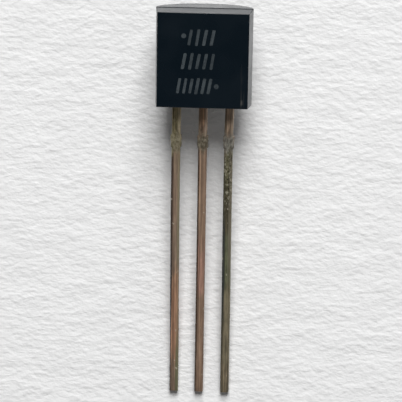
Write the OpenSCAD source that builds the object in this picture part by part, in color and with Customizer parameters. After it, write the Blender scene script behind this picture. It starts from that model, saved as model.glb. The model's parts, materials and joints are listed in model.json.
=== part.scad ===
// TO-92 transistor: a drafted, moulded body on a stamped three-lead frame.
//
// The package is drawn standing up, the way its drawings show it:
//   x runs across the leads, y from the flat face (-y) to the round back (+y),
//   z from the lead tips (-z) up to the head. The leads leave the body at z = 0
//   and their middle plane, y = 0, is the plane where the mould parts.
// Each node is then laid on its round back, where the body and the three
// lead tips carry it, with the flat face up.

/* [Body] */
// Width of the body at the parting plane, which is the diameter of its round back
body_width = 4.60; // [4.40:0.02:5.00]
// Height of each half of the body at the parting plane, without the leads
body_height = 4.60; // [4.30:0.02:5.20]
// Depth from the parting plane to the flat face
flat_depth = 1.30; // [1.10:0.05:1.60]
// Width of the flat face
flat_width = 4.30; // [3.60:0.05:4.35]
// Draft of the head and of the lead end, in degrees from the parting plane
end_draft = 2.5; // [0.5:0.5:6]
// How far the front half sits towards the leads, because the two mould halves don't quite meet
mould_shift = 0.02; // [0.01:0.005:0.05]

/* [Leads] */
// Distance between the middles of neighbouring leads
lead_pitch = 1.27; // [1.22:0.01:1.32]
// Width of a lead below its tie-bar stubs
lead_width = 0.42; // [0.38:0.01:0.52]
// Width of a lead between the body and its tie-bar stubs
neck_width = 0.42; // [0.32:0.01:0.48]
// Thickness of the sheet that the leads are stamped from
sheet_thickness = 0.38; // [0.34:0.01:0.44]
// Length of the leads below the body
lead_length = 14.5; // [12:0.1:16]
// Distance from the body down to the tie-bar stubs
stub_start = 1.55; // [1.0:0.05:1.8]
// Height of a tie-bar stub along the lead
stub_height = 0.55; // [0.4:0.05:0.9]
// How far a stub stands out from each side of its lead
stub_reach = 0.05; // [0.02:0.01:0.10]

/* [Lead frame inside the body] */
// Height of the two bond posts above the lead end of the body
post_top = 1.70; // [1.4:0.05:1.8]
// Height of the wide head of a bond post
post_head_height = 0.60; // [0.45:0.05:0.8]
// Width of the wide head of a bond post
post_head_width = 0.92; // [0.7:0.02:1.0]
// Gap between the bond posts and the die pad
pad_gap = 0.32; // [0.25:0.01:0.45]
// Moulding compound between the side of the body and the edge of the die pad
pad_side_cover = 0.60; // [0.45:0.05:0.8]
// Moulding compound between the head of the body and the edge of the die pad
pad_top_cover = 0.60; // [0.45:0.05:0.8]
// Diameter of the two holes in the die pad that the compound fills and locks in
lock_hole_diameter = 0.45; // [0.3:0.05:0.5]
// Distance from the middle of a lock hole to the two edges of the pad's corner
lock_hole_inset = 0.42; // [0.38:0.02:0.5]
// Width of the two lock notches in the drain lead, just inside the body
notch_width = 0.30; // [0.2:0.02:0.4]
// Depth of a lock notch into the side of the drain lead
notch_depth = 0.10; // [0.05:0.01:0.12]
// Height of the lock notches above the lead end of the body
notch_height = 0.85; // [0.7:0.05:1.0]
// Width of the drain lead inside the body
drain_stem_width = 0.60; // [0.55:0.01:0.7]

/* [Die and bond wires] */
// Side of the square silicon die
die_side = 0.90; // [0.7:0.05:1.0]
// Thickness of the silicon die
die_thickness = 0.25; // [0.15:0.01:0.3]
// Thickness of the silver-filled adhesive under the die
attach_thickness = 0.03; // [0.02:0.005:0.05]
// How far the adhesive squeezes out past the die on each side
attach_fillet = 0.04; // [0.02:0.01:0.08]
// Distance of the die's middle from the middle of the body, away from the drain lead
die_shift = 0.25; // [0.1:0.05:0.35]
// Distance between the two bond pads on the die
bond_spacing = 0.50; // [0.35:0.05:0.6]
// Distance of the bond pads from the lower edge of the die
bond_inset = 0.22; // [0.15:0.01:0.3]
// Diameter of a bond wire
wire_diameter = 0.05; // [0.03:0.005:0.06]
// Rise of a wire's loop above the straight line between its two ends
loop_rise = 0.36; // [0.3:0.02:0.45]
// Diameter of the ball that joins a wire to the die
ball_diameter = 0.13; // [0.1:0.01:0.16]
// Height of the pressed ball
ball_height = 0.05; // [0.03:0.01:0.06]
// Diameter of the pressed end that joins a wire to its post
stitch_diameter = 0.12; // [0.09:0.01:0.15]
// Height of the pressed end
stitch_height = 0.02; // [0.015:0.005:0.03]

/* [Hidden] */
$fn = 96;

// Body.
back_radius = body_width / 2;
front_end_rise = flat_depth * tan(end_draft);
back_end_rise = back_radius * tan(end_draft);

// Lead frame. The drain lead is the left one when the flat face is towards the eye.
drain_x = -lead_pitch;
gate_x = 0;
source_x = lead_pitch;
frame_front = -sheet_thickness / 2;
stub_end = stub_start + stub_height;
pad_left = -body_width / 2 + pad_side_cover;
pad_right = body_width / 2 - pad_side_cover;
pad_bottom = post_top + pad_gap;
pad_top = body_height - pad_top_cover;

// Die stack, built out from the front of the frame towards the flat face.
die_middle = [die_shift, (pad_bottom + pad_top) / 2];
die_front = attach_thickness + die_thickness;
bond_height = die_middle[1] - die_side / 2 + bond_inset;
gate_bond = [die_shift - bond_spacing / 2, bond_height];
source_bond = [die_shift + bond_spacing / 2, bond_height];
post_bond_height = post_top - post_head_height / 2;
// Extra turn of a wire's arc at each end, cut away where it meets the metal
wire_end_turn = 6;

// Lying at rest. The line from the lowest corner of the round back to the back
// corner of a lead tip becomes level.
rest_angle = atan((back_radius - sheet_thickness / 2) / (lead_length + back_end_rise));
function laid_y(y, z) = y * sin(rest_angle) + z * cos(rest_angle);
function laid_z(y, z) = z * sin(rest_angle) - y * cos(rest_angle);
head_y = laid_y(back_radius, body_height - back_end_rise);
tip_y = laid_y(frame_front, -lead_length);
floor_z = laid_z(sheet_thickness / 2, -lead_length);

// Turns a standing piece down on the round back, with the origin in the middle
// of the whole object's outline and on the surface that it lies on.
module at_rest()
  translate([0, -(head_y + tip_y) / 2, -floor_z])
    rotate([rest_angle - 90, 0, 0])
      children();

// Extrudes an outline drawn in x and z, from depth y0 to depth y1.
module upright(y0, y1)
  translate([0, y1, 0])
    rotate([90, 0, 0])
      linear_extrude(height = y1 - y0)
        children();

// ---- Moulded body ----

// Keeps of its children what lies between the two drafted ends of a mould half.
// It runs from the parting plane out to depth y, where its ends have come in by rise.
module drafted_ends(y, rise)
  intersection() {
    linear_extrude(height = body_height)
      children();
    rotate([90, 0, 90])
      linear_extrude(height = 2 * body_width, center = true)
        polygon([[0, 0], [y, rise], [y, body_height - rise], [0, body_height]]);
  }

module front_half()
  translate([0, 0, -mould_shift])
    drafted_ends(-flat_depth, front_end_rise)
      polygon([
        [-body_width / 2, 0], [-flat_width / 2, -flat_depth],
        [flat_width / 2, -flat_depth], [body_width / 2, 0]
      ]);

module back_half()
  drafted_ends(back_radius, back_end_rise)
    intersection() {
      circle(r = back_radius);
      translate([-body_width, 0])
        square([2 * body_width, body_width]);
    }

// ---- Stamped lead frame ----

// Outline of a lead outside the body, around its own middle line and down from
// the body: neck, tie-bar stubs with their sheared shoulders, and shank.
module lead_outline()
  let (
    shank = lead_width / 2,
    neck = neck_width / 2,
    stub = lead_width / 2 + stub_reach,
    right = [
      [shank, -lead_length], [shank, -stub_end - stub_reach], [stub, -stub_end],
      [stub, -stub_start], [neck, -stub_start + stub - neck], [neck, 0]
    ],
    last = len(right) - 1
  )
    polygon(concat(right, [for (i = [last:-1:0]) [-right[i][0], right[i][1]]]));

// A bond post: the stem that goes on from the lead, and its wide head.
module post_outline() {
  translate([-neck_width / 2, 0])
    square([neck_width, post_top]);
  translate([-post_head_width / 2, post_top - post_head_height])
    square([post_head_width, post_head_height]);
}

// The stem of the drain lead, with a notch in each side for the compound to grip.
module drain_stem_outline()
  difference() {
    translate([-drain_stem_width / 2, 0])
      square([drain_stem_width, pad_bottom]);
    for (side = [-1, 1])
      translate([side * drain_stem_width / 2, notch_height])
        square([2 * notch_depth, notch_width], center = true);
  }

// The die pad reaches across the body, over both bond posts.
module pad_outline()
  difference() {
    translate([pad_left, pad_bottom])
      square([pad_right - pad_left, pad_top - pad_bottom]);
    for (x = [pad_left + lock_hole_inset, pad_right - lock_hole_inset])
      translate([x, pad_top - lock_hole_inset])
        circle(d = lock_hole_diameter);
  }

module post_lead_solid(x)
  upright(frame_front, -frame_front)
    translate([x, 0]) {
      lead_outline();
      post_outline();
    }

module drain_lead_solid()
  upright(frame_front, -frame_front) {
    translate([drain_x, 0]) {
      lead_outline();
      drain_stem_outline();
    }
    pad_outline();
  }

// ---- Die, adhesive and bond wires ----

// A square plate on the front of the die pad, from height z0 to height z1 above the metal.
module plate_on_pad(side, z0, z1)
  upright(frame_front - z1, frame_front - z0)
    translate(die_middle)
      square(side, center = true);

module attach_solid() plate_on_pad(die_side + 2 * attach_fillet, 0, attach_thickness);

module die_solid() plate_on_pad(die_side, attach_thickness, die_front);

// A low round button on a surface that lies out in front of the lead frame.
module button(place, height_out, diameter, height)
  upright(frame_front - height_out - height, frame_front - height_out)
    translate(place)
      circle(d = diameter);

// The loop of a wire from a bond pad on the die to its post, as one arc of a ring.
// The arc stands square to the lead frame, over the line between its two ends.
module wire_loop(bond, post)
  let (
    run = norm(post - bond),
    heading = atan2(post[1] - bond[1], post[0] - bond[0]),
    chord = norm([run, die_front]),
    slope = atan2(-die_front, run),
    radius = (chord * chord / 4 + loop_rise * loop_rise) / (2 * loop_rise),
    half_turn = asin(chord / 2 / radius) + wire_end_turn
  )
    translate([bond[0], frame_front, bond[1]])
      rotate([180, -heading, 0])
        translate([run / 2, die_front / 2, 0])
          rotate([0, 0, slope])
            translate([0, loop_rise - radius, 0])
              rotate([0, 0, 90 - half_turn])
                rotate_extrude(angle = 2 * half_turn)
                  translate([radius, 0])
                    circle(d = wire_diameter, $fn = 24);

// A bond wire with its ball on the die and its stitch on the post at post_x.
module wire_solid(bond, post_x)
  let (post = [post_x, post_bond_height]) {
    difference() {
      wire_loop(bond, post);
      die_solid();
      post_lead_solid(post_x);
    }
    button(bond, die_front, ball_diameter, ball_height);
    button(post, 0, stitch_diameter, stitch_height);
  }

// ---- Nodes ----

module body()
  color("#10161d")
    at_rest()
      difference() {
        union() {
          front_half();
          back_half();
        }
        drain_lead_solid();
        post_lead_solid(gate_x);
        post_lead_solid(source_x);
        attach_solid();
        die_solid();
        wire_solid(gate_bond, gate_x);
        wire_solid(source_bond, source_x);
      }

module drain_lead() color("#7a6553") at_rest() drain_lead_solid();

module gate_lead() color("#876c58") at_rest() post_lead_solid(gate_x);

module source_lead() color("#59533d") at_rest() post_lead_solid(source_x);

module die() color("#8f9499") at_rest() die_solid();

module die_attach() color("#b9b9b4") at_rest() attach_solid();

module gate_wire() color("#e0b64e") at_rest() wire_solid(gate_bond, gate_x);

module source_wire() color("#e0b64e") at_rest() wire_solid(source_bond, source_x);

body();
drain_lead();
gate_lead();
source_lead();
die();
die_attach();
gate_wire();
source_wire();
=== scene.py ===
# %% [markdown]
# # A TO-92 transistor, lying on paper
#
# The object is small: 19 mm from the tips of its leads to its head. It has a black moulded
# body, flat in front and round behind, and three tarnished leads that were stamped from one
# strip of copper alloy. It lies on its round back with the flat face up.
#
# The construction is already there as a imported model, called the frame here. This lesson
# dresses it: it rounds the edges as the mould and the press leave them, and gives each piece
# its finish. The first cell loads the frame. Every length is in metres, as Blender wants it,
# so a constant for one millimetre keeps the numbers readable.

# %% Load the frame
import json
import math

import bmesh
import bpy
from mathutils import Matrix, Vector, noise

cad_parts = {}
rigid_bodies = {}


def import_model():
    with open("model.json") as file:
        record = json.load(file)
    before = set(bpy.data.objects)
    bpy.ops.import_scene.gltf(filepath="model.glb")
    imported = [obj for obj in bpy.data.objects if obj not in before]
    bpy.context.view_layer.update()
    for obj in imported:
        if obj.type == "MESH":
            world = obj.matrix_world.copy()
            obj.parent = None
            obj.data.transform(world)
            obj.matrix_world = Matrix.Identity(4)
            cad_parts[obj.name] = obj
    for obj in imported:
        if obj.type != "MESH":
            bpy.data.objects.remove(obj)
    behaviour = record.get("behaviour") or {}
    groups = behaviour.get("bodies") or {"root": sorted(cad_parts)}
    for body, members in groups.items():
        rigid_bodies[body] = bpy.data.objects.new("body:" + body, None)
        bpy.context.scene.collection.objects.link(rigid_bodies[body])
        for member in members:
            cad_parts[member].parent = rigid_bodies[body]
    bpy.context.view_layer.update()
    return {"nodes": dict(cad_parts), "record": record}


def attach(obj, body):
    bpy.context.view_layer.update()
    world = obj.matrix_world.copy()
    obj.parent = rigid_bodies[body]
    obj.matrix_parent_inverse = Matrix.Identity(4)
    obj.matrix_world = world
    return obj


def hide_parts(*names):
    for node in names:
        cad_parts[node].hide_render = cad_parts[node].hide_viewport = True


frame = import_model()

MM = 0.001
print("nodes:", sorted(frame["nodes"]))

# %% [markdown]
# ## Where the package stands
#
# The part lies tilted by about 8 degrees, because the round back is thicker than a lead. Drawings of
# the package show it standing, so it is easier to think in those directions: `across` the
# leads, `out` of the flat face, and `along` the body towards its head. The record names two
# mounts, the flat side and the row of lead tips, and they give all three directions. The
# matrix below turns a place in the standing package, in millimetres, into a place in the
# scene. Taking it from the mounts means that nothing here repeats an angle from the drawing.

# %% The package's own directions
mounts = {m["name"]: m for m in frame["record"]["mounts"]}
out = Vector(mounts["flat_side"]["axis"]).normalized()
along = -Vector(mounts["lead_row"]["axis"]).normalized()
across = Vector((1, 0, 0))
lead_length = mounts["lead_row"]["dims"]["length_mm"]
lead_pitch = mounts["lead_row"]["dims"]["spacing_x_mm"]
lead_exit = Vector(mounts["lead_row"]["pos_m"]) + along * lead_length * MM
rest_angle = math.atan2(along.z, along.y)


def turned(first, second, third):
    """A matrix whose x, y and z lie along three directions, with a millimetre for its unit."""
    return Matrix((first, second, third)).transposed().to_4x4() @ Matrix.Scale(MM, 4)


face_middle = Vector(mounts["flat_side"]["pos_m"])
STANDING = Matrix.Translation(lead_exit) @ turned(across, -out, along)
TO_STANDING = STANDING.inverted()
flat_depth = -(TO_STANDING @ face_middle).y
print("rest angle %.2f degrees, flat face %.2f mm out" % (math.degrees(rest_angle), flat_depth))

# %% [markdown]
# ## The camera
#
# The camera looks down from above the body, near its head and a little to the right of the
# part. So the picture shows the flat face nearly square, with a thin strip of the right side.
# It shows a strip of the head too, which the tilt of the part turns a little upwards. A long
# lens from 85 mm keeps the three leads almost parallel. The clip distance has to come down with
# the scene, or the near plane would cut a part this small away.

# %% Camera
CAMERA_PLACE = Vector((4.223, 8.507, 85.0)) * MM
CAMERA_TURN = (-0.09947, 0.05339, 0.02387)
CAMERA_LENS = 155.333

camera_data = bpy.data.cameras.new("camera")
camera_data.lens = CAMERA_LENS
camera_data.clip_start = 5 * MM
camera_data.clip_end = 5.0
camera = bpy.data.objects.new("camera", camera_data)
camera.location = CAMERA_PLACE
camera.rotation_euler = CAMERA_TURN
bpy.context.scene.collection.objects.link(camera)
bpy.context.scene.camera = camera
bpy.context.scene.view_settings.view_transform = "Standard"
print("camera at", [round(v / MM, 2) for v in camera.location], "mm")

# %% [markdown]
# ## A helper for node trees
#
# Materials, the world and the repeated marks are all node trees. This helper adds one node,
# sets its properties, and fills its inputs: an input given as a socket is linked, and any
# other value is set. The helpers after it are for the sums, blends and noises that every tree
# needs.

# %% Node helpers
def node(tree, kind, inputs=None, **settings):
    made = tree.nodes.new(kind)
    for name, value in settings.items():
        setattr(made, name, value)
    for key, value in (inputs or {}).items():
        if isinstance(value, bpy.types.NodeSocket):
            tree.links.new(value, made.inputs[key])
        else:
            made.inputs[key].default_value = value
    return made


def maths(tree, operation, *values):
    """One sum. MULTIPLY_ADD takes three values, and is the first times the second, plus the third."""
    return node(tree, "ShaderNodeMath", dict(enumerate(values)), operation=operation).outputs[0]


def times(tree, first, second):
    return maths(tree, "MULTIPLY", first, second)


def span(tree, value, low, high, to_low=0.0, to_high=1.0):
    """Carries value from the range low..high to to_low..to_high, smoothly at both ends."""
    inputs = {"Value": value, "From Min": low, "From Max": high, "To Min": to_low, "To Max": to_high}
    return node(tree, "ShaderNodeMapRange", inputs, interpolation_type="SMOOTHSTEP").outputs[0]


def blend(tree, amount, first, second, how="MIX"):
    inputs = {0: amount, 6: first, 7: second}
    return node(tree, "ShaderNodeMix", inputs, data_type="RGBA", blend_type=how, clamp_factor=True).outputs[2]


def clouds(tree, place, stretch, detail=3.0, roughness=0.55):
    """Noise in the standing package's millimetres; stretch is how many features fit in 1 mm each way."""
    scaled = node(tree, "ShaderNodeVectorMath", {0: place, 1: stretch}, operation="MULTIPLY").outputs[0]
    inputs = {"Vector": scaled, "Scale": 1.0, "Detail": detail, "Roughness": roughness}
    return node(tree, "ShaderNodeTexNoise", inputs).outputs[0]


def new_material(name):
    material = bpy.data.materials.new(name)
    material.use_nodes = True
    tree = material.node_tree
    return material, tree, tree.nodes["Principled BSDF"]


def standing_place(tree):
    """The standing package's millimetres at each point of the surface, from Object coordinates."""
    inputs = {
        "Vector": node(tree, "ShaderNodeTexCoord").outputs["Object"], "Location": TO_STANDING.translation,
        "Rotation": TO_STANDING.to_euler(), "Scale": (1 / MM,) * 3,
    }
    return node(tree, "ShaderNodeMapping", inputs, vector_type="POINT").outputs[0]


def axes(tree, place):
    """The x, y and z of a place."""
    return node(tree, "ShaderNodeSeparateXYZ", {0: place}).outputs[:3]


def rgb(red, green, blue):
    """A colour given as a screen shows it, from 0 to 255, for a socket that wants linear light."""
    def linear(c):
        c = c / 255
        return c / 12.92 if c <= 0.04045 else ((c + 0.055) / 1.055) ** 2.4
    return (linear(red), linear(green), linear(blue), 1.0)

# %% [markdown]
# ## The paper it lies on
#
# The floor is a sheet of white paper with a short, flat felt mark: fine ridges a few tenths of
# a millimetre long that run across the picture. The ridges are far too many to model, and they
# are only relief, so they are noise in the bump of one large flat sheet. Two scales are
# enough: the fibres, and longer, softer wrinkles. The colour stays plain.

# %% Paper
PAPER_SIDE = 1.2
PAPER_RELIEF = 0.06
WRINKLE_SHARE = 1.2


def paper_material():
    material, tree, shader = new_material("white_paper")
    metres = node(tree, "ShaderNodeTexCoord").outputs["Object"]
    place = node(tree, "ShaderNodeVectorMath", {0: metres, 1: (1 / MM,) * 3}, operation="MULTIPLY").outputs[0]
    fibres = clouds(tree, place, (2.6, 4.2, 1.0), detail=2.0, roughness=0.5)
    wrinkles = clouds(tree, place, (0.5, 1.3, 1.0), detail=2.0)
    relief = maths(tree, "MULTIPLY_ADD", wrinkles, WRINKLE_SHARE, fibres)
    bump = node(tree, "ShaderNodeBump", {"Height": relief, "Strength": 1.0, "Distance": PAPER_RELIEF * MM})
    tint = blend(tree, span(tree, wrinkles, 0.3, 0.7), rgb(236, 236, 236), rgb(241, 241, 241))
    tree.links.new(tint, shader.inputs["Base Color"])
    shader.inputs["Roughness"].default_value = 0.95
    shader.inputs["Specular IOR Level"].default_value = 0.1
    tree.links.new(bump.outputs[0], shader.inputs["Normal"])
    return material


paper_mesh = bpy.data.meshes.new("paper")
half = PAPER_SIDE / 2
corners = [(-half, -half, 0), (half, -half, 0), (half, half, 0), (-half, half, 0)]
paper_mesh.from_pydata(corners, [], [(0, 1, 2, 3)])
paper = bpy.data.objects.new("paper", paper_mesh)
paper.data.materials.append(paper_material())
bpy.context.scene.collection.objects.link(paper)
print("paper", PAPER_SIDE, "m square")

# %% [markdown]
# ## The light
#
# One tall soft box stands beyond the head, half way up the sky, so the body throws a soft shadow
# down over the roots of the leads. It leaves the space above the part dark, and that is why a
# black flat face can look black: it reflects what is above it. A second, weak box on the right
# keeps the right-hand edges alive, and the room itself is dim, paler towards the horizon.

# %% Light
def toward(azimuth, height):
    """The direction of a light, by degrees from +Y towards +X and degrees above the paper."""
    azimuth, height = math.radians(azimuth), math.radians(height)
    flat = math.cos(height)
    return Vector((math.sin(azimuth) * flat, math.cos(azimuth) * flat, math.sin(height)))


def soft_box(name, direction, distance, wide, tall, radiance):
    """A rectangle of light that faces the part. Its radiance stays the same whatever its size."""
    data = bpy.data.lights.new(name, "AREA")
    data.shape = "RECTANGLE"
    data.size = wide
    data.size_y = tall
    data.energy = radiance * math.pi * wide * tall
    made = bpy.data.objects.new(name, data)
    made.location = direction * distance
    made.rotation_euler = direction.to_track_quat("Z", "Y").to_euler()
    bpy.context.scene.collection.objects.link(made)
    print(name, "light %.3f W" % data.energy)


SKY_AT_HORIZON = 0.33
SKY_ABOVE = 0.04


def sky():
    world = bpy.data.worlds.new("studio")
    bpy.context.scene.world = world
    world.use_nodes = True
    tree = world.node_tree
    direction = node(tree, "ShaderNodeTexCoord").outputs["Generated"]
    height = node(tree, "ShaderNodeSeparateXYZ", {0: direction}).outputs[2]
    level = span(tree, height, 0.15, 0.75, SKY_AT_HORIZON, SKY_ABOVE)
    tree.links.new(level, tree.nodes["Background"].inputs["Strength"])
    tree.nodes["Background"].inputs["Color"].default_value = (1, 1, 1, 1)


soft_box("key", toward(5, 46.5), 0.40, wide=0.19, tall=0.255, radiance=12.9)
soft_box("fill", toward(95, 45), 0.35, wide=0.25, tall=0.25, radiance=0.25)
sky()

# %% [markdown]
# ## Rounding what the mould and the press leave
#
# No real edge is perfectly sharp. The mould rounds the body's edges by a few hundredths of a
# millimetre, and the punch rolls the edges of the sheet over. The frame already has the true
# form, so each visible piece starts as a copy of its solid. The copy is welded, because a
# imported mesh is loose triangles, its flat faces are made whole again, and the edges that a
# rule picks get a weight for the Bevel modifier. The modifier is applied, so what is left is
# a plain mesh. The rules read the standing package's millimetres: places nearer than `CLOSE`
# count as level, and points nearer than `WELD` become one.
#
# Smooth shading then needs care. Where an edge stays sharp, such as the rim of a slot, one shared
# normal would bend the light on both faces and draw a false shadow over the flat one. So each edge
# that turns by more than a bevel's steps do is marked sharp, and the flat faces lead the rest.

# %% Copies with rounded edges
CLOSE = 0.01
WELD = 1e-4
FLAT_TURN = math.radians(0.5)
SHARP_TURN = math.radians(35)


def welded_copy(node_name):
    """A bmesh of a node in standing millimetres, with whole flat faces."""
    mesh = bmesh.new()
    mesh.from_mesh(frame["nodes"][node_name].data)
    mesh.transform(TO_STANDING)
    bmesh.ops.remove_doubles(mesh, verts=mesh.verts, dist=WELD)
    bmesh.ops.dissolve_limit(mesh, angle_limit=FLAT_TURN, verts=mesh.verts, edges=mesh.edges)
    return mesh


def add_object(name, mesh):
    """Makes an object of a bmesh in standing millimetres, laid down where it belongs."""
    mesh.transform(STANDING)
    bmesh.ops.recalc_face_normals(mesh, faces=mesh.faces)
    data = bpy.data.meshes.new(name)
    mesh.to_mesh(data)
    mesh.free()
    made = bpy.data.objects.new(name, data)
    bpy.context.scene.collection.objects.link(made)
    return made


def weigh_edges(mesh, rule):
    """Marks the edges that a rule picks for the Bevel modifier, and counts them."""
    layer = mesh.edges.layers.float.new("bevel_weight_edge")
    picked = 0
    for edge in mesh.edges:
        if len(edge.link_faces) == 2 and rule(edge):
            edge[layer] = 1.0
            picked += 1
    return picked


def finish_modifiers(made):
    """Replaces an object's mesh by what its modifiers make of it."""
    depsgraph = bpy.context.evaluated_depsgraph_get()
    data = bpy.data.meshes.new_from_object(made.evaluated_get(depsgraph))
    made.modifiers.clear()
    made.data = data
    return made


def round_edges(made, radius, segments):
    bevel = made.modifiers.new("rounding", "BEVEL")
    bevel.limit_method = "WEIGHT"
    bevel.width = radius * MM
    bevel.segments = segments
    bevel.use_clamp_overlap = True
    return finish_modifiers(made)


def shade_flats(made):
    """Shades a piece smooth, with its large flat faces setting the shading next to a rounded rim."""
    made.data.shade_smooth()
    made.data.set_sharp_from_angle(angle=SHARP_TURN)
    weighted = made.modifiers.new("flat faces stay flat", "WEIGHTED_NORMAL")
    weighted.keep_sharp = True
    weighted.weight = 100
    return finish_modifiers(made)

# %% [markdown]
# ## The moulded body
#
# The body is a silica-filled epoxy, moulded in two halves that meet at the plane of the leads. Both
# halves taper away from that plane so that they leave the mould. All its outer edges get a
# small radius, but not the hair-thin step where the halves meet, which would be lost, and not
# the slots that the leads fill.

# %% Body
BODY_ROUNDING = 0.025
BODY_TURN = math.radians(30)
STEP_BAND = 0.05
FACING = 0.9
END_BAND = 0.3
SIDES_FROM = 2.0
BACK_FROM = 2.1


def outer_face(face):
    """Tells the body's outside from the cavities round the metal inside it."""
    centre = face.calc_center_median()
    normal = face.normal
    flat = abs(centre.y + flat_depth) < CLOSE and normal.y < CLOSE - 1
    head = centre.z > body_top - END_BAND and normal.z > FACING
    lead_end = centre.z < END_BAND and normal.z < -FACING
    side = abs(centre.x) > SIDES_FROM and abs(normal.x) > FACING
    back = math.hypot(centre.x, centre.y) > BACK_FROM and normal.y > 0
    return flat or head or lead_end or side or back


def body_edge(edge):
    """Picks the outer edges, but not the step where the halves meet."""
    at_step = all(abs(v.co.y) < STEP_BAND for v in edge.verts)
    outside = all(outer_face(f) for f in edge.link_faces)
    return outside and not at_step and edge.calc_face_angle(0) >= BODY_TURN


body_copy = welded_copy("body")
body_top = max(v.co.z for v in body_copy.verts)
print("body edges to round:", weigh_edges(body_copy, body_edge), "of", len(body_copy.edges))
body = shade_flats(round_edges(add_object("moulded_body", body_copy), BODY_ROUNDING, segments=4))
print("body:", len(body.data.polygons), "faces")

# %% [markdown]
# ## The look of the moulding compound
#
# The compound is black epoxy with fine silica in it. Its colour could be one flat black, but then it would
# look like painted card. A moulded surface has a hardly visible grain and a sheen that drifts a little
# from place to place, and this one also has a few pale lengthwise scuffs near one edge, with a short nick
# at their lower end. Grain and drift are noise at two scales; the scuffs are noise stretched along the body
# and kept to a small zone. The sides, the back and the lead end are a little duller than the face and head.

# %% Moulding compound
SCUFF_ZONE = dict(across=(1.76, 1.82, 2.04, 2.09), along=(-0.10, 0.15, 1.50, 2.30))
NICK_ZONE = dict(across=(1.79, 1.85, 1.87, 1.93), along=(0.16, 0.30, 0.36, 0.52))
OFF_THE_FACE = (-1.27, -1.15)
BELOW_THE_HEAD = (-0.12, -0.20)
SIDE_DULLNESS = 0.045
SCUFF_DULLNESS = 0.15
GRAIN_RELIEF = 0.0006


def window(tree, value, rise_from, rise_to, fall_from, fall_to):
    """One from rise_to to fall_from, nothing below rise_from or above fall_to, with soft edges."""
    return times(tree, span(tree, value, rise_from, rise_to), span(tree, value, fall_to, fall_from))


def zone(tree, x, z, across, along):
    """A soft-edged patch, given by a window across the face and one along it."""
    return times(tree, window(tree, x, *across), window(tree, z, *along))


def moulding_compound():
    material, tree, shader = new_material("black_epoxy")
    place = standing_place(tree)
    x, y, z = axes(tree, place)
    grain = clouds(tree, place, (34.0, 34.0, 34.0), detail=2.0)
    flow = clouds(tree, place, (0.5, 0.5, 0.5), detail=2.0)
    dark = blend(tree, flow, rgb(2, 14, 22), rgb(7, 20, 29))
    colour = blend(tree, span(tree, grain, 0.62, 0.78), dark, rgb(22, 32, 40))
    rubs = clouds(tree, place, (12.0, 12.0, 0.5), detail=2.0)
    scuff = times(tree, span(tree, rubs, 0.50, 0.62), zone(tree, x, z, **SCUFF_ZONE))
    colour = blend(tree, times(tree, scuff, 0.4), colour, rgb(52, 52, 51))
    nick = zone(tree, x, z, **NICK_ZONE)
    colour = blend(tree, times(tree, nick, 0.9), colour, rgb(70, 70, 68))
    tree.links.new(colour, shader.inputs["Base Color"])
    below_head = span(tree, z, *(body_top + height for height in BELOW_THE_HEAD))
    sides = times(tree, span(tree, y, *OFF_THE_FACE), below_head)
    sheen = maths(tree, "MULTIPLY_ADD", sides, SIDE_DULLNESS, span(tree, flow, 0.3, 0.7, 0.24, 0.32))
    worn = times(tree, maths(tree, "MAXIMUM", scuff, nick), SCUFF_DULLNESS)
    tree.links.new(maths(tree, "ADD", sheen, worn), shader.inputs["Roughness"])
    shader.inputs["IOR"].default_value = 1.55
    bump = node(tree, "ShaderNodeBump", {"Height": grain, "Strength": 1.0, "Distance": GRAIN_RELIEF * MM})
    tree.links.new(bump.outputs[0], shader.inputs["Normal"])
    return material


body.data.materials.clear()
body.data.materials.append(moulding_compound())
print("body finish: grain, flow, scuffs and a nick")

# %% [markdown]
# ## The three leads
#
# The leads are flat strips, cut from sheet with a punch. While the body was moulded, a tie bar held
# them together, and it was cut away afterwards. That leaves a short stub on each side, and its cut
# is ragged: half of it sheared, half of it torn. Only the part outside the body gets rolled
# edges, and they run on a little way into the slot so that their ends don't show. Inside, each
# lead ends in a die pad or a bond post that the compound fits tightly.
#
# To make the ragged cut, the rounded mesh is sliced across the stub many times, and the points of its
# sides are pushed in and out by noise. The noise reads only the place of a point, so every run
# of this script gives the same edge.
#
# Thin leads are never quite straight either. The outer two lean sideways by a few hundredths of a
# millimetre, first to the left and then to the right. A lead that has no points above and below its
# stub can't bend, so it is sliced there too, and each point moves by what a short list gives for
# its depth. The middle lead's list holds only zeros, so it stays straight.

# %% Rounded leads with ragged stubs
LEAD_ROUNDING = 0.085
RIM_TURN = math.radians(60)
ROUNDED_UP_TO = 0.02
TIP_ROUNDING_SHARE = 0.35
STUB_ZONE = (-2.25, -1.40)
STUB_SLICE = 0.05
STUB_RAGGED = 0.045
STUB_WARP_SHARE = 0.25
LEAN_SLICE = 0.5
LEANS = {
    "drain_lead": ((0.0, 0.0), (2.5, -0.012), (5.1, -0.016), (8.5, 0.0), (12.5, 0.029), (14.5, 0.031)),
    "gate_lead": ((0.0, 0.0), (14.5, 0.0)),
    "source_lead": ((0.0, 0.0), (1.5, -0.024), (5.5, -0.022), (10.5, 0.002), (14.5, 0.012)),
}


def lead_edge(edge):
    """Picks the rims outside the body, and the part of them that just enters its slot."""
    low, high = sorted(v.co.z for v in edge.verts)
    outside = low < -CLOSE and high < ROUNDED_UP_TO + CLOSE
    rim = abs(edge.verts[0].co.y - edge.verts[1].co.y) < CLOSE
    return outside and rim and edge.calc_face_angle(0) > RIM_TURN


def ease_tip(mesh, length):
    """The tip was sheared, so its rim is sharper than the punched sides."""
    layer = mesh.edges.layers.float["bevel_weight_edge"]
    for edge in mesh.edges:
        if edge[layer] > 0 and all(v.co.z < CLOSE - length for v in edge.verts):
            edge[layer] = TIP_ROUNDING_SHARE


def cut_across(mesh, height):
    """Puts a ring of points round a mesh at one height."""
    everything = mesh.verts[:] + mesh.edges[:] + mesh.faces[:]
    bmesh.ops.bisect_plane(mesh, geom=everything, plane_co=(0, 0, height), plane_no=(0, 0, 1), dist=WELD)


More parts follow.
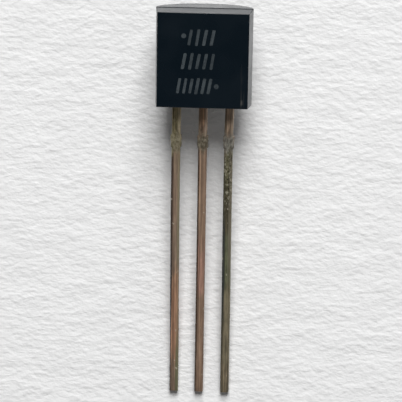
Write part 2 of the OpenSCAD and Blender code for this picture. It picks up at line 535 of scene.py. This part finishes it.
def slice_across(mesh, low, high, step):
    """Cuts a mesh across at every step from low to high, so that it can bend there."""
    for i in range(int((high - low) / step) + 1):
        cut_across(mesh, low + i * step)


def lean_at(depth, bends):
    """How far to the right a lead stands at a depth below the body, eased between the places given."""
    for (above, first), (below, last) in zip(bends, bends[1:]):
        if depth < below:
            share = max(0.0, (depth - above) / (below - above))
            return first + (last - first) * share * share * (3 - 2 * share)
    return bends[-1][1]


def tear_and_bend(lead, centre, bends):
    """Pushes the points of a lead's stub in and out, and leans the lead outside the body."""
    mesh = bmesh.new()
    mesh.from_mesh(lead.data)
    mesh.transform(TO_STANDING)
    slice_across(mesh, *STUB_ZONE, STUB_SLICE)
    slice_across(mesh, LEAN_SLICE - lead_length, STUB_ZONE[0] - LEAN_SLICE, LEAN_SLICE)
    slice_across(mesh, STUB_ZONE[1] + LEAN_SLICE / 2, -LEAN_SLICE / 2, LEAN_SLICE / 2)
    for v in mesh.verts:
        if STUB_ZONE[0] < v.co.z < STUB_ZONE[1] and abs(v.co.x - centre) >= LEAD_ROUNDING:
            side = math.copysign(1, v.co.x - centre)
            ease = math.sin(math.pi * (v.co.z - STUB_ZONE[0]) / (STUB_ZONE[1] - STUB_ZONE[0]))
            # The first part sets each side of each lead apart, and the others how fine the tear is.
            seed = Vector((centre * 5 + side * 9, v.co.y * 3, v.co.z * 6))
            v.co.x += side * STUB_RAGGED * ease * noise.noise(seed)
            v.co.y += STUB_WARP_SHARE * STUB_RAGGED * ease * noise.noise(seed * 1.7)
        if v.co.z < 0:
            v.co.x += lean_at(-v.co.z, bends)
    mesh.transform(STANDING)
    mesh.to_mesh(lead.data)
    mesh.free()


leads = {}
for number, node_name in enumerate(("drain_lead", "gate_lead", "source_lead")):
    centre = (number - 1) * lead_pitch
    lead_copy = welded_copy(node_name)
    cut_across(lead_copy, ROUNDED_UP_TO)
    picked = weigh_edges(lead_copy, lead_edge)
    ease_tip(lead_copy, lead_length)
    lead = round_edges(add_object("rounded_" + node_name, lead_copy), LEAD_ROUNDING, segments=6)
    tear_and_bend(lead, centre, LEANS[node_name])
    leads[node_name] = shade_flats(lead)
    print(node_name, "rims:", picked, "faces:", len(lead.data.polygons))

# %% [markdown]
# ## Tarnish, with some painted light and shade
#
# The plating on these leads is old. Brown oxide, olive and blue films lie over each other, in
# streaks that run along the strip. A film like that scatters most of the light, so the shader is
# only part metal. The colour is built up in layers, as the film is:
#
# 1. a few patches along each lead, given as a place, a reach, a tint and a strength, blended one over
#    the other with edges that noise makes uneven; the two next to the body are partly the neck's own
#    tint and partly painted light, paler to lift the necks in the body's shadow;
# 2. two scales of streaks, many times longer than they are wide, and broader blots;
# 3. films that keep to one side. The dark rim along the left of each lead is painted shade, where the
#    rounded rim turns away from the light, and the pale strip on the right of each neck is a painted
#    highlight from the light on the right;
# 4. grit on a stretch of each lead, most of it on the source lead, a dull band where the tie bar was
#    cut, and a few pale specks.
#
# Inside the body, where air never reached it, the strip is still as bright as when it was plated.
# The drain lead's stem in there is wider than its neck, and the step between them comes level with
# the end of the body. The moulding would cover that step, so it is tinted like the compound.
#
# A painter could brush all of this on an image, but a rule costs no memory and stays sharp from close
# by. A short list for each lead gives the choices, and one function makes all three materials.

# %% Layers of a film
FILM_GONE = 1.25
FILM_FULL = 0.6


def away_from(tree, value, middle):
    return maths(tree, "ABSOLUTE", maths(tree, "SUBTRACT", value, middle))


def reach_along(tree, depth, middle, reach, strength):
    """How strong a film is at each depth: full round its middle, and gone a quarter past its reach."""
    return span(tree, away_from(tree, depth, middle), reach * FILM_GONE, reach * FILM_FULL, 0.0, strength)


def swing(tree, noise_value, width):
    """Turns a noise from 0..1 into a push to either side, width apart at most."""
    return times(tree, maths(tree, "SUBTRACT", noise_value, 0.5), width)


def grey(tree, value):
    return node(tree, "ShaderNodeCombineColor", {0: value, 1: value, 2: value}).outputs[0]

# %% Lead metal
STREAK_CONTRAST = 0.36
PATCH_WANDER = 2.4
SIDE_WANDER = 0.07
CUT_WANDER = 1.1
STUB_BAND = (1.15, 1.75, 2.05, 2.50)
PAST_THE_NECK = (0.213, 0.218)
LEAD_METALLIC = 0.3
LEAD_RELIEF = 0.006
SPECK_TINT = rgb(206, 196, 176)
CLEAN_PLATE = rgb(196, 192, 182)
COMPOUND_TINT = rgb(6, 18, 26)


def lead_material(name, centre, base, patches, sides, grit, stub, stains=0.12, contrast=STREAK_CONTRAST):
    """The finish of one lead: tints are screen colours, places are mm below the body or off its middle."""
    material, tree, shader = new_material(name)
    place = standing_place(tree)
    x, _, z = axes(tree, place)
    depth = times(tree, z, -1.0)
    uneven = clouds(tree, place, (6.0, 3.0, 1.3), detail=3.0)
    loose_depth = maths(tree, "ADD", depth, swing(tree, uneven, PATCH_WANDER))
    colour = base
    for middle, reach, tint, strength in patches:
        colour = blend(tree, reach_along(tree, loose_depth, middle, reach, strength), colour, tint)

    streaks = clouds(tree, place, (10.0, 10.0, 0.14), detail=1.0)
    hairs = clouds(tree, place, (22.0, 22.0, 0.45), detail=2.0)
    light = span(tree, maths(tree, "ADD", streaks, hairs), 0.8, 1.2, 1 - contrast, 1 + contrast)
    colour = blend(tree, 1.0, colour, grey(tree, light), "MULTIPLY")
    blots = clouds(tree, place, (7.0, 7.0, 1.9), detail=3.0, roughness=0.65)
    stain = span(tree, blots, 0.3, 0.7, 1 - stains, 1 + stains)
    colour = blend(tree, 1.0, colour, grey(tree, stain), "MULTIPLY")

    # Side films: the dark film along each lead's left rim is painted shade, and the pale strip on the right
    # of each neck is a painted highlight.
    offset = maths(tree, "ADD", maths(tree, "SUBTRACT", x, centre), swing(tree, uneven, SIDE_WANDER))
    for middle, reach, inner, outer, tint, strength in sides:
        here = reach_along(tree, loose_depth, middle, reach, strength)
        colour = blend(tree, times(tree, here, span(tree, offset, inner, outer)), colour, tint)

    grains = clouds(tree, place, (9.5, 9.5, 6.0), detail=3.0, roughness=0.66)
    amount, first, last, dark, pale = grit
    gritty = window(tree, depth, first - 0.4, first + 0.3, last - 0.6, last + 1.0)
    colour = blend(tree, times(tree, span(tree, grains, 0.47, 0.36, 0.0, amount), gritty), colour, dark)
    colour = blend(tree, times(tree, span(tree, grains, 0.56, 0.64, 0.0, amount), gritty), colour, pale)

    dark_cut, pale_cut, strength = stub
    cut_depth = maths(tree, "ADD", depth, swing(tree, uneven, CUT_WANDER))
    cut_tint = blend(tree, span(tree, grains, 0.38, 0.64), dark_cut, pale_cut)
    colour = blend(tree, times(tree, window(tree, cut_depth, *STUB_BAND), strength), colour, cut_tint)

    specks = clouds(tree, place, (9.0, 9.0, 5.0), detail=0.0)
    colour = blend(tree, span(tree, specks, 0.79, 0.85, 0.0, 0.6), colour, SPECK_TINT)

    colour = blend(tree, span(tree, depth, 0.0, -0.12), colour, CLEAN_PLATE)
    past_neck = span(tree, away_from(tree, x, centre), *PAST_THE_NECK)
    colour = blend(tree, times(tree, past_neck, span(tree, depth, 0.05, 0.03)), colour, COMPOUND_TINT)
    tree.links.new(colour, shader.inputs["Base Color"])
    shader.inputs["Metallic"].default_value = LEAD_METALLIC
    rough = span(tree, grains, 0.35, 0.65, 0.34, 0.50)
    root = span(tree, depth, 2.8, 1.8, 0.0, 0.14)
    tree.links.new(maths(tree, "ADD", rough, root), shader.inputs["Roughness"])
    relief = maths(tree, "MULTIPLY_ADD", hairs, 0.6, grains)
    bump = node(tree, "ShaderNodeBump", {"Height": relief, "Strength": 1.0, "Distance": LEAD_RELIEF * MM})
    tree.links.new(bump.outputs[0], shader.inputs["Normal"])
    return material

# %% The three finishes
WHOLE = (7.5, 14.0)
NECK = (0.8, 1.6)

finishes = {
    "drain_lead": dict(
        base=rgb(148, 128, 108),
        patches=[
            # The two patches next to the body are partly the neck's own tint and partly painted light, paler
            # to lift the neck in the body's shadow.
            (0.7, 1.0, rgb(136, 126, 92), 0.9), (0.1, 0.8, rgb(192, 176, 136), 0.9),
            (4.6, 1.4, rgb(146, 124, 106), 0.8), (6.8, 1.2, rgb(140, 120, 104), 0.7),
            (10.8, 2.6, rgb(176, 134, 108), 0.85), (13.9, 0.9, rgb(143, 122, 104), 0.8),
        ],
        # The WHOLE entry from -0.09 to -0.16 is painted shade along the left rim, the entry at 0.3 mm is a
        # painted highlight on the right of the neck, and the NECK entry takes the painted shade off the left
        # rim next to the body.
        sides=[
            (*WHOLE, 0.08, 0.19, rgb(124, 114, 90), 0.6), (13.3, 1.6, 0.06, 0.15, rgb(112, 116, 86), 0.7),
            (0.3, 1.2, 0.03, 0.12, rgb(196, 182, 154), 0.75),
            (5.2, 2.6, 0.06, 0.15, rgb(136, 132, 104), 0.6), (5.4, 2.8, -0.02, -0.12, rgb(116, 96, 82), 0.75),
            (*WHOLE, -0.09, -0.16, rgb(58, 46, 40), 0.9), (11.0, 3.4, -0.12, -0.17, rgb(64, 66, 72), 0.8),
            (*NECK, -0.08, -0.14, rgb(128, 116, 84), 0.8),
        ],
        grit=(0.45, 0.2, 2.0, rgb(58, 60, 36), rgb(176, 168, 132)),
        stub=(rgb(100, 96, 72), rgb(150, 144, 122), 0.75),
    ),
    "gate_lead": dict(
        base=rgb(152, 127, 107),
        patches=[
            # The two patches next to the body are partly the neck's own tint and partly painted light, paler
            # to lift the neck in the body's shadow.
            (0.7, 1.0, rgb(128, 104, 86), 0.9), (0.1, 0.8, rgb(188, 152, 122), 0.9),
            (4.4, 1.8, rgb(163, 136, 114), 0.8), (8.2, 1.3, rgb(171, 132, 116), 0.85),
            (12.4, 2.8, rgb(149, 123, 103), 0.85),
        ],
        # The WHOLE entry from -0.09 to -0.16 is painted shade along the left rim, the entry at 0.4 mm is a
        # painted highlight on the right of the neck, and the NECK entry takes the painted shade off the left
        # rim next to the body.
        sides=[
            (*WHOLE, 0.09, 0.18, rgb(118, 96, 80), 0.6), (*WHOLE, -0.09, -0.16, rgb(58, 42, 32), 0.9),
            (0.4, 1.3, 0.05, 0.13, rgb(192, 168, 148), 0.85), (*NECK, -0.08, -0.14, rgb(136, 116, 98), 0.85),
        ],
        grit=(0.45, 1.0, 1.9, rgb(52, 50, 36), rgb(150, 140, 118)),
        stub=(rgb(70, 68, 54), rgb(132, 128, 110), 0.8),
    ),
    "source_lead": dict(
        base=rgb(104, 98, 78),
        patches=[
            # The two patches next to the body are partly the neck's own tint and partly painted light, paler
            # to lift the neck in the body's shadow.
            (0.7, 1.0, rgb(136, 116, 98), 0.9), (0.1, 0.8, rgb(200, 172, 146), 0.9),
            (3.4, 1.6, rgb(98, 95, 73), 0.9), (5.6, 1.3, rgb(94, 87, 67), 0.9),
            (7.7, 1.2, rgb(90, 93, 72), 0.9), (11.6, 2.2, rgb(114, 105, 86), 0.85),
            (14.0, 0.9, rgb(122, 110, 90), 0.85),
        ],
        # The WHOLE entry from -0.10 to -0.17 is painted shade along the left rim, the entry at 0.4 mm with
        # positive offsets is a painted highlight on the right of the neck, and the NECK entry takes the
        # painted shade off the left rim next to the body.
        sides=[
            (5.0, 3.6, 0.00, 0.09, rgb(122, 115, 98), 0.75), (*WHOLE, 0.12, 0.20, rgb(104, 98, 78), 0.5),
            (0.4, 1.3, 0.02, 0.12, rgb(198, 176, 154), 0.7), (*WHOLE, -0.10, -0.17, rgb(68, 66, 52), 0.65),
            (8.0, 2.4, -0.08, -0.15, rgb(60, 64, 66), 0.8), (*NECK, -0.08, -0.14, rgb(120, 104, 86), 0.8),
        ],
        grit=(0.9, 2.2, 4.8, rgb(44, 42, 28), rgb(168, 164, 144)),
        stains=0.24, contrast=0.5,
        stub=(rgb(90, 88, 82), rgb(150, 147, 138), 0.8),
    ),
}
for number, (node_name, finish) in enumerate(finishes.items()):
    lead = leads[node_name]
    lead.data.materials.clear()
    lead.data.materials.append(lead_material(node_name + "_tarnish_and_painted_light", (number - 1) * lead_pitch, **finish))
    print(node_name, "finish with", len(finish["patches"]), "patches and", len(finish["sides"]), "side films")

# %% [markdown]
# ## The printed marks
#
# Packages like this one usually carry a few rows of pale print on the flat face. Here the rows are plain
# hatching, with a dot at the start of the first row and one at the end of the last. The hatching is about
# as large and as bold as such print, and says nothing. How thick the ink lies is a guess.
#
# A stroke that repeats at one pitch along a row is a job for Geometry Nodes. The start is a mesh
# with one edge for each row and a loose point for each dot. The tree samples the edges every so often,
# puts a stroke on each sample and a disc on each loose point, and makes the lot real. Each stroke is a
# closed solid, half sunk in the face, so that nothing shows a gap under it from close by.

# %% Where the rows are
ROW_MIDDLES = (1.09, -0.03, -1.20)
ROW_SPANS = ((-0.60, 0.45), (-0.88, 0.45), (-1.11, 0.34))
DOT_PLACES = ((-0.90, 1.16), (0.66, -1.20))

FACE = Matrix.Translation(face_middle) @ turned(across, along, out)


def row_mesh():
    """One edge for each row and one loose point for each dot, in millimetres on the flat face."""
    points = [(x, height, 0) for height, ends in zip(ROW_MIDDLES, ROW_SPANS) for x in ends]
    edges = [(2 * row, 2 * row + 1) for row in range(len(ROW_MIDDLES))]
    mesh = bpy.data.meshes.new("rows")
    mesh.from_pydata(points + [(x, y, 0) for x, y in DOT_PLACES], edges, [])
    loose = mesh.attributes.new("is_dot", "BOOLEAN", "POINT")
    for number, item in enumerate(loose.data):
        item.value = number >= len(points)
    return mesh


print("rows:", len(ROW_MIDDLES), "dots:", len(DOT_PLACES))

# %% The tree that prints
INK_INPUTS = (
    ("Stroke Pitch", "NodeSocketFloat", 0.27), ("Stroke Width", "NodeSocketFloat", 0.14),
    ("Stroke Height", "NodeSocketFloat", 0.76), ("Slant", "NodeSocketFloat", 0.13),
    ("Dot Radius", "NodeSocketFloat", 0.115), ("Ink Thickness", "NodeSocketFloat", 0.006),
    ("Seed", "NodeSocketInt", 7),
)
SMALLEST_STROKE = (0.86, 0.90, 1.0)
LARGEST_STROKE = (1.08, 1.03, 1.0)


def joined(tree, *geometries):
    made = node(tree, "GeometryNodeJoinGeometry")
    for geometry in geometries:
        tree.links.new(geometry, made.inputs[0])
    return made.outputs[0]


def thick_film(tree, curve, thickness):
    """Fills a closed curve and gives it a top, a bottom and a rim."""
    sheet = node(tree, "GeometryNodeFillCurve", {"Curve": curve}, mode="NGONS").outputs[0]
    raised = {"Mesh": sheet, "Offset Scale": thickness, "Individual": False}
    top = node(tree, "GeometryNodeExtrudeMesh", raised).outputs[0]
    bottom = node(tree, "GeometryNodeFlipFaces", {"Mesh": sheet}).outputs[0]
    shell = joined(tree, top, bottom)
    closed = node(tree, "GeometryNodeMergeByDistance", {"Geometry": shell, "Distance": WELD}).outputs[0]
    sink = node(tree, "ShaderNodeCombineXYZ", {2: times(tree, thickness, -0.5)}).outputs[0]
    return node(tree, "GeometryNodeTransform", {"Geometry": closed, "Translation": sink}).outputs[0]


def printing_tree():
    tree = bpy.data.node_groups.new("printed_rows", "GeometryNodeTree")
    tree.interface.new_socket("Geometry", in_out="INPUT", socket_type="NodeSocketGeometry")
    for name, kind, _ in INK_INPUTS:
        tree.interface.new_socket(name, in_out="INPUT", socket_type=kind)
    tree.interface.new_socket("Ink", in_out="INPUT", socket_type="NodeSocketMaterial")
    tree.interface.new_socket("Geometry", in_out="OUTPUT", socket_type="NodeSocketGeometry")
    given = node(tree, "NodeGroupInput").outputs

    rows = node(tree, "GeometryNodeMeshToCurve", {"Mesh": given["Geometry"]}).outputs[0]
    spaced = {"Curve": rows, "Length": given["Stroke Pitch"]}
    samples = node(tree, "GeometryNodeResampleCurve", spaced, mode="LENGTH").outputs[0]
    outline = {"Width": given["Stroke Width"], "Height": given["Stroke Height"], "Offset": given["Slant"]}
    slanted = node(tree, "GeometryNodeCurvePrimitiveQuadrilateral", outline, mode="PARALLELOGRAM").outputs[0]
    corner = {"Curve": slanted, "Radius": times(tree, given["Stroke Width"], 0.3), "Count": 3}
    eased = node(tree, "GeometryNodeFilletCurve", corner, mode="POLY").outputs[0]
    stroke = thick_film(tree, eased, given["Ink Thickness"])
    sizes = {0: SMALLEST_STROKE, 1: LARGEST_STROKE, "Seed": given["Seed"]}
    size = node(tree, "FunctionNodeRandomValue", sizes, data_type="FLOAT_VECTOR").outputs[0]
    placed = {"Points": samples, "Instance": stroke, "Scale": size}
    strokes = node(tree, "GeometryNodeInstanceOnPoints", placed).outputs[0]

    round_dot = {"Resolution": 20, "Radius": given["Dot Radius"]}
    ring = node(tree, "GeometryNodeCurvePrimitiveCircle", round_dot).outputs[0]
    is_dot = node(tree, "GeometryNodeInputNamedAttribute", {"Name": "is_dot"}, data_type="BOOLEAN").outputs[0]
    dot = thick_film(tree, ring, given["Ink Thickness"])
    placed = {"Points": given["Geometry"], "Selection": is_dot, "Instance": dot}
    dots = node(tree, "GeometryNodeInstanceOnPoints", placed).outputs[0]

    every_mark = joined(tree, strokes, dots)
    real = node(tree, "GeometryNodeRealizeInstances", {"Geometry": every_mark}).outputs[0]
    inked = node(tree, "GeometryNodeSetMaterial", {"Geometry": real, "Material": given["Ink"]}).outputs[0]
    node(tree, "NodeGroupOutput", {0: inked})
    return tree


ink_tree = printing_tree()
print("printing tree:", len(ink_tree.nodes), "nodes")

# %% [markdown]
# ## Ink
#
# The ink is a grey film, duller than the moulded face. It is thin and worn, so the black shows through in
# places. One material could be all grey with a rough value painted over it; here two noises do both jobs:
# a broad one for how well the ink covers, and a fine one for the pores that stayed bare.

# %% Ink material
def ink_material():
    material, tree, shader = new_material("pale_ink")
    place = standing_place(tree)
    cover = clouds(tree, place, (1.4, 1.4, 1.4), detail=2.0)
    pores = clouds(tree, place, (8.0, 8.0, 8.0), detail=3.0)
    colour = blend(tree, span(tree, cover, 0.35, 0.65), rgb(46, 54, 58), rgb(62, 70, 74))
    colour = blend(tree, span(tree, pores, 0.50, 0.66, 0.0, 0.75), colour, rgb(24, 34, 42))
    tree.links.new(colour, shader.inputs["Base Color"])
    tree.links.new(span(tree, pores, 0.35, 0.65, 0.50, 0.66), shader.inputs["Roughness"])
    return material


def set_inputs(modifier, values):
    """Sets a modifier's inputs by the identifiers of their sockets."""
    sockets = {item.name: item for item in modifier.node_group.interface.items_tree if item.in_out == "INPUT"}
    for name, value in values.items():
        modifier[sockets[name].identifier] = value


marks = bpy.data.objects.new("printed_marks", row_mesh())
bpy.context.scene.collection.objects.link(marks)
printing = marks.modifiers.new("printing", "NODES")
printing.node_group = ink_tree
ink = ink_material()
set_inputs(printing, {name: value for name, _, value in INK_INPUTS} | {"Ink": ink})
finish_modifiers(marks)
marks.data.materials.clear()
marks.data.materials.append(ink)
marks.data.transform(FACE)
print("printed marks:", len(marks.data.polygons), "faces")

# %% [markdown]
# ## What is inside
#
# The chip, its adhesive and the two bond wires are sealed in the body, so no camera sees them. They still
# get their true finishes, because someone may hide the body to look inside. The frame's own objects stay as
# they are, and only the materials in their slots are new.
#
# - A power chip usually is silicon under a bright aluminium layer, with rows of cells just visible in it.
# - The adhesive is epoxy full of silver flakes, so it glitters a little.
# - The wires are drawn gold, with fine lines, mostly along them, that hardly show.

# %% Silicon, silver adhesive and gold
CELL_SIZE = 0.02


def silicon():
    material, tree, shader = new_material("silicon_chip")
    place = standing_place(tree)
    x, y, z = axes(tree, place)
    columns = maths(tree, "PINGPONG", x, CELL_SIZE)
    lines = maths(tree, "PINGPONG", z, CELL_SIZE)
    cells = span(tree, maths(tree, "MINIMUM", columns, lines), 0.001, 0.004)
    top = blend(tree, cells, rgb(92, 98, 108), rgb(176, 180, 186))
    side = blend(tree, clouds(tree, place, (20.0, 20.0, 20.0)), rgb(84, 88, 98), rgb(110, 114, 124))
    chip = welded_copy("die")
    chip_top = min(v.co.y for v in chip.verts)
    chip.free()
    on_top = span(tree, y, chip_top + 0.02, chip_top + 0.005)
    tree.links.new(blend(tree, on_top, side, top), shader.inputs["Base Color"])
    shader.inputs["Metallic"].default_value = 0.7
    shader.inputs["Roughness"].default_value = 0.22
    return material


def flecked_metal(name, stretch, tints, rough, metallic):
    """A metal whose tint and roughness both follow one noise."""
    material, tree, shader = new_material(name)
    fleck = clouds(tree, standing_place(tree), stretch, detail=1.0)
    tree.links.new(blend(tree, fleck, *tints), shader.inputs["Base Color"])
    tree.links.new(span(tree, fleck, *rough), shader.inputs["Roughness"])
    shader.inputs["Metallic"].default_value = metallic
    return material


silver_tints = (rgb(150, 150, 146), rgb(216, 216, 210))
gold_tints = (rgb(226, 176, 84), rgb(250, 206, 112))
silver = flecked_metal("silver_epoxy", (60.0, 60.0, 60.0), silver_tints, (0.4, 0.6, 0.30, 0.60), metallic=0.6)
gold = flecked_metal("drawn_gold", (90.0, 90.0, 4.0), gold_tints, (0.3, 0.7, 0.16, 0.28), metallic=1.0)
inner_finishes = {"die": silicon(), "die_attach": silver, "gate_wire": gold, "source_wire": gold}
for node_name, material in inner_finishes.items():
    slots = frame["nodes"][node_name].material_slots
    for slot in slots:
        slot.material = material
    print(node_name, "has", len(slots), "slot with", material.name)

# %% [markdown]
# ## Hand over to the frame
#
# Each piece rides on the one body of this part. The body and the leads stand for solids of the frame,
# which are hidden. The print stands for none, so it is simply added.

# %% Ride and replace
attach(body, "root")
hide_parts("body")
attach(marks, "root")
for node_name, lead in leads.items():
    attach(lead, "root")
    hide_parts(node_name)
